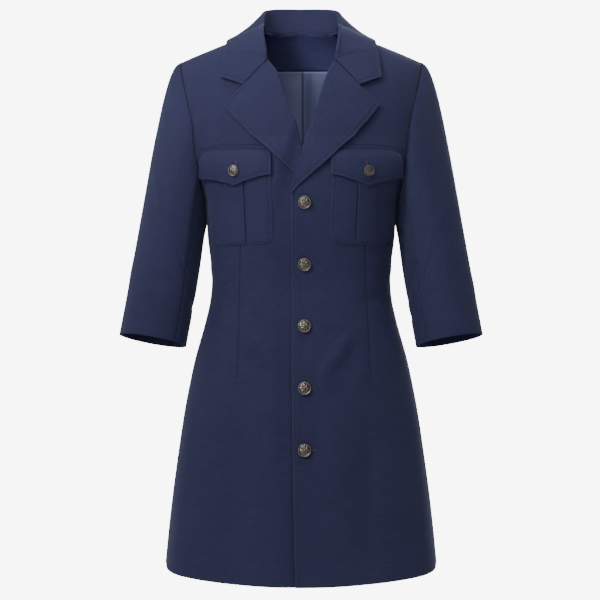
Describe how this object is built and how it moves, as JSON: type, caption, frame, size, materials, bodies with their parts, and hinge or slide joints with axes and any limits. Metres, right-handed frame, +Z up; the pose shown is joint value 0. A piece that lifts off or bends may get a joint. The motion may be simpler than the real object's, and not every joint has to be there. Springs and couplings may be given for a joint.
{
  "type": "short sleeve coat",
  "caption": "Tailored knee-length coat with notched lapels, three-quarter sleeves, flapped chest pockets and a buttoned front, hollow as worn.",
  "frame": {"origin": "middle of the line between the two neck points, at the height where the wearer's shoulders hold the coat", "axes": "+Z up, -Y out of the coat's front, +X to the wearer's left"},
  "size_m": [0.637, 0.3119, 1.0161],
  "materials": {
    "wool": "fine navy wool twill, matt with a soft sheen",
    "lining": "slate blue satin",
    "button": "darkened pewter-brown metal, worn bright on the rim"
  },
  "bodies": {
    "root": {"front_left": "wool", "front_right": "wool", "back_left": "wool", "back_right": "wool", "sleeve_upper_left": "wool", "sleeve_upper_right": "wool", "sleeve_under_left": "wool", "sleeve_under_right": "wool", "collar": "wool", "lapel_left": "wool", "lapel_right": "wool", "neck_facing": "wool", "pocket_left": "wool", "pocket_right": "wool", "flap_left": "wool", "flap_right": "wool", "lining_back": "lining", "button_front_1": "button", "button_front_2": "button", "button_front_3": "button", "button_front_4": "button", "button_front_5": "button", "button_flap_left": "button", "button_flap_right": "button"}
  },
  "joints": []
}
